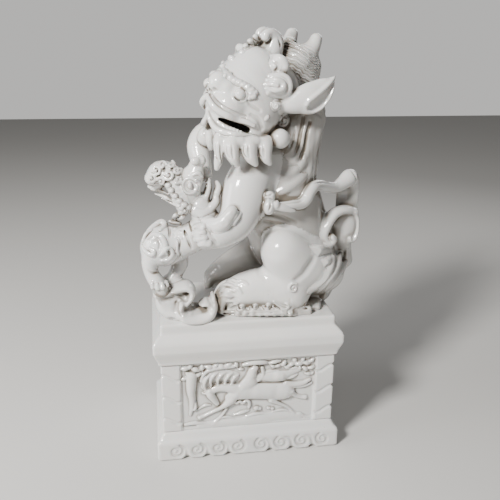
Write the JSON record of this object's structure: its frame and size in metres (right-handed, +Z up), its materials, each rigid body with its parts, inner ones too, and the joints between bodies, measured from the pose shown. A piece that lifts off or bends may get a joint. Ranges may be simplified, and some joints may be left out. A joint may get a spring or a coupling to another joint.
{
  "type": "foo dog statue",
  "caption": "White glazed porcelain guardian lioness with cub, seated on a hollow rectangular plinth with relief panels",
  "frame": {"origin": "middle of the plinth's footprint, on the surface that the statue stands on", "axes": "+Z up; -Y towards the viewer of the horse-and-rider panel; the lioness sits facing -X"},
  "size_m": [0.2135, 0.1267, 0.3992],
  "materials": {
    "lion_glaze": "gloss white glaze, darker where it thins in the crevices",
    "cub_glaze": "gloss white glaze, darker where it thins in the crevices",
    "relief_glaze": "gloss white glaze over low relief",
    "plinth_glaze": "gloss white glaze with a few pin holes"
  },
  "bodies": {
    "root": {"plinth_foot": "plinth_glaze", "plinth_front_panel": "plinth_glaze", "plinth_back_panel": "plinth_glaze", "plinth_left_panel": "plinth_glaze", "plinth_right_panel": "plinth_glaze", "front_left_post": "plinth_glaze", "front_right_post": "plinth_glaze", "back_left_post": "plinth_glaze", "back_right_post": "plinth_glaze", "plinth_cornice": "plinth_glaze", "front_relief": "relief_glaze", "back_relief": "relief_glaze", "left_relief": "relief_glaze", "right_relief": "relief_glaze", "lion_torso": "lion_glaze", "lion_head": "lion_glaze", "lion_hair_cap": "lion_glaze", "lion_left_ear": "lion_glaze", "lion_right_ear": "lion_glaze", "lion_left_temple_curls": "lion_glaze", "lion_right_temple_curls": "lion_glaze", "lion_brow_curls": "lion_glaze", "lion_mane": "lion_glaze", "lion_beard": "lion_glaze", "lion_left_foreleg": "lion_glaze", "lion_right_foreleg": "lion_glaze", "lion_left_hind_leg": "lion_glaze", "lion_right_hind_leg": "lion_glaze", "lion_tail": "lion_glaze", "heel_rock": "lion_glaze", "sash_ribbon": "lion_glaze", "sash_knot": "lion_glaze", "cub_body": "cub_glaze", "cub_head": "cub_glaze", "cub_mane": "cub_glaze", "cub_foreleg": "cub_glaze", "cub_left_hind_leg": "cub_glaze", "cub_right_hind_leg": "cub_glaze", "cloud_base": "cub_glaze"}
  },
  "joints": []
}
